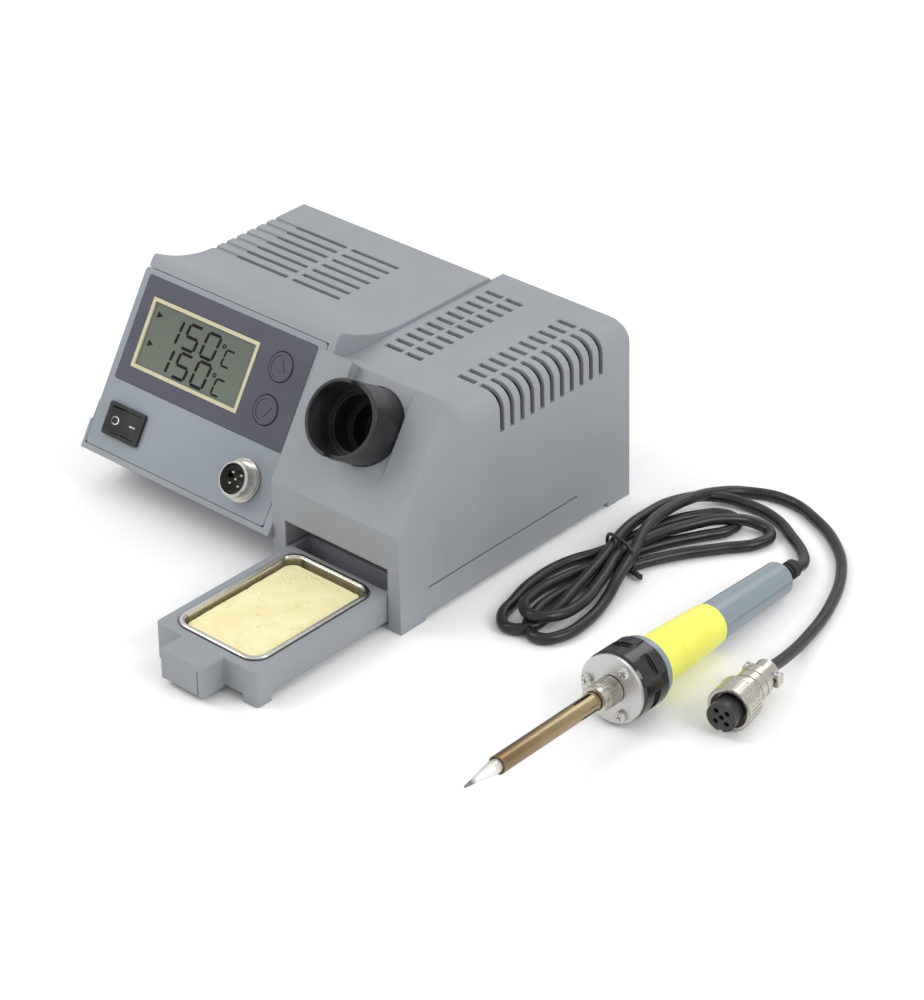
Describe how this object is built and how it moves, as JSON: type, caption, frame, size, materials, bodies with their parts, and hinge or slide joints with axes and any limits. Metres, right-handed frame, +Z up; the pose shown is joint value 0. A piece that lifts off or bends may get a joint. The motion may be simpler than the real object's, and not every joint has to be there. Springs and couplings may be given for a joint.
{
  "type": "soldering iron station",
  "caption": "Grey desktop soldering station with a leaning display panel, a stepped tip holder, a sponge drawer and a yellow-gripped iron on a tied cord.",
  "frame": {"origin": "on the table, under the middle of the station's footprint, the iron, cord and drawer apart", "axes": "+X to the right, +Y to the back, +Z up"},
  "size_m": [0.336, 0.2758, 0.1007],
  "materials": {
    "shell_grey": "fine moulded grain",
    "slate": "fine moulded grain",
    "black_plastic": "gloss",
    "rubber": "matte rubber",
    "steel": "satin",
    "chrome": "plated",
    "brass": "satin",
    "bronze_tube": "satin",
    "board": "fine moulded grain",
    "copper": "satin",
    "lcd_cream": "fine moulded grain",
    "lcd_grey": "gloss",
    "lcd_ink": "fine moulded grain",
    "sponge": "open-cell sponge",
    "foam": "matte rubber",
    "handle_blue": "gloss",
    "ceramic": "fine moulded grain",
    "core_iron": "satin",
    "cap_sleeve": "gloss"
  },
  "bodies": {
    "station": {"base_tray": "shell_grey", "hood_cover": "shell_grey", "holder_cover": "shell_grey", "drawer_bay": "shell_grey", "control_panel": "shell_grey", "keypad_overlay": "slate", "lcd_frame": "lcd_cream", "lcd_glass": "lcd_grey", "lcd_digits": "lcd_ink", "display_board": "board", "key_switches": "black_plastic", "rocker_frame": "black_plastic", "socket_shell": "chrome", "socket_insert": "black_plastic", "socket_pins": "brass", "socket_nut": "steel", "iron_holder": "black_plastic", "cable_gland": "rubber", "transformer_core": "core_iron", "transformer_coil": "copper", "transformer_bracket": "steel", "transformer_screws": "steel", "main_board": "board", "heat_sink": "steel", "triac": "black_plastic", "capacitors": "cap_sleeve", "board_fuse": "ceramic", "board_screws": "steel", "case_screws": "steel", "seam_screws": "steel", "rubber_feet": "rubber"},
    "drawer": {"drawer": "shell_grey", "sponge_tin": "steel", "sponge": "sponge"},
    "rocker": {"rocker": "black_plastic"},
    "button_up": {"button_up": "slate"},
    "button_down": {"button_down": "slate"},
    "iron": {"soldering_tip": "steel", "tip_barrel": "bronze_tube", "heater_core": "ceramic", "flange_disc": "steel", "flange_screws": "chrome", "collar_ring": "black_plastic", "handle_ring": "handle_blue", "foam_grip": "foam", "handle_shell": "handle_blue", "strain_relief": "rubber", "cord_lead": "rubber", "cord_hank": "rubber", "cord_tail": "rubber", "cord_tie": "black_plastic", "plug_shell": "chrome", "plug_insert": "black_plastic", "plug_clamp": "chrome", "clamp_screws": "steel"},
    "barrel_nut": {"barrel_nut": "chrome"},
    "coupling_ring": {"coupling_ring": "chrome"}
  },
  "joints": [
    {"name": "drawer_slide", "type": "slide", "parent": "station", "child": "drawer", "axis": [0, 1, 0], "range_m": [0, 0.076]},
    {"name": "rocker_tilt", "type": "hinge", "parent": "station", "child": "rocker", "pos_m": [-0.0729, -0.06723, 0.03328], "axis": [0, 0.518, 0.8554], "range_deg": [-20, 0]},
    {"name": "key_up_press", "type": "slide", "parent": "station", "child": "button_up", "axis": [0, 0.8554, -0.518], "range_m": [0, 0.0008], "stiffness_N_per_m": 300},
    {"name": "key_down_press", "type": "slide", "parent": "station", "child": "button_down", "axis": [0, 0.8554, -0.518], "range_m": [0, 0.0008], "stiffness_N_per_m": 300},
    {"name": "iron_lift", "type": "slide", "parent": "station", "child": "iron", "axis": [0, 0, 1], "range_m": [0, 0.15]},
    {"name": "barrel_nut_turn", "type": "hinge", "parent": "iron", "child": "barrel_nut", "pos_m": [0.19658, -0.07098, 0.01668], "axis": [-0.0557, 0.9957, -0.0741], "continuous": true},
    {"name": "coupling_turn", "type": "hinge", "parent": "iron", "child": "coupling_ring", "pos_m": [0.23335, -0.03812, 0.0097], "axis": [-0.1564, 0.9877, 0], "continuous": true}
  ]
}
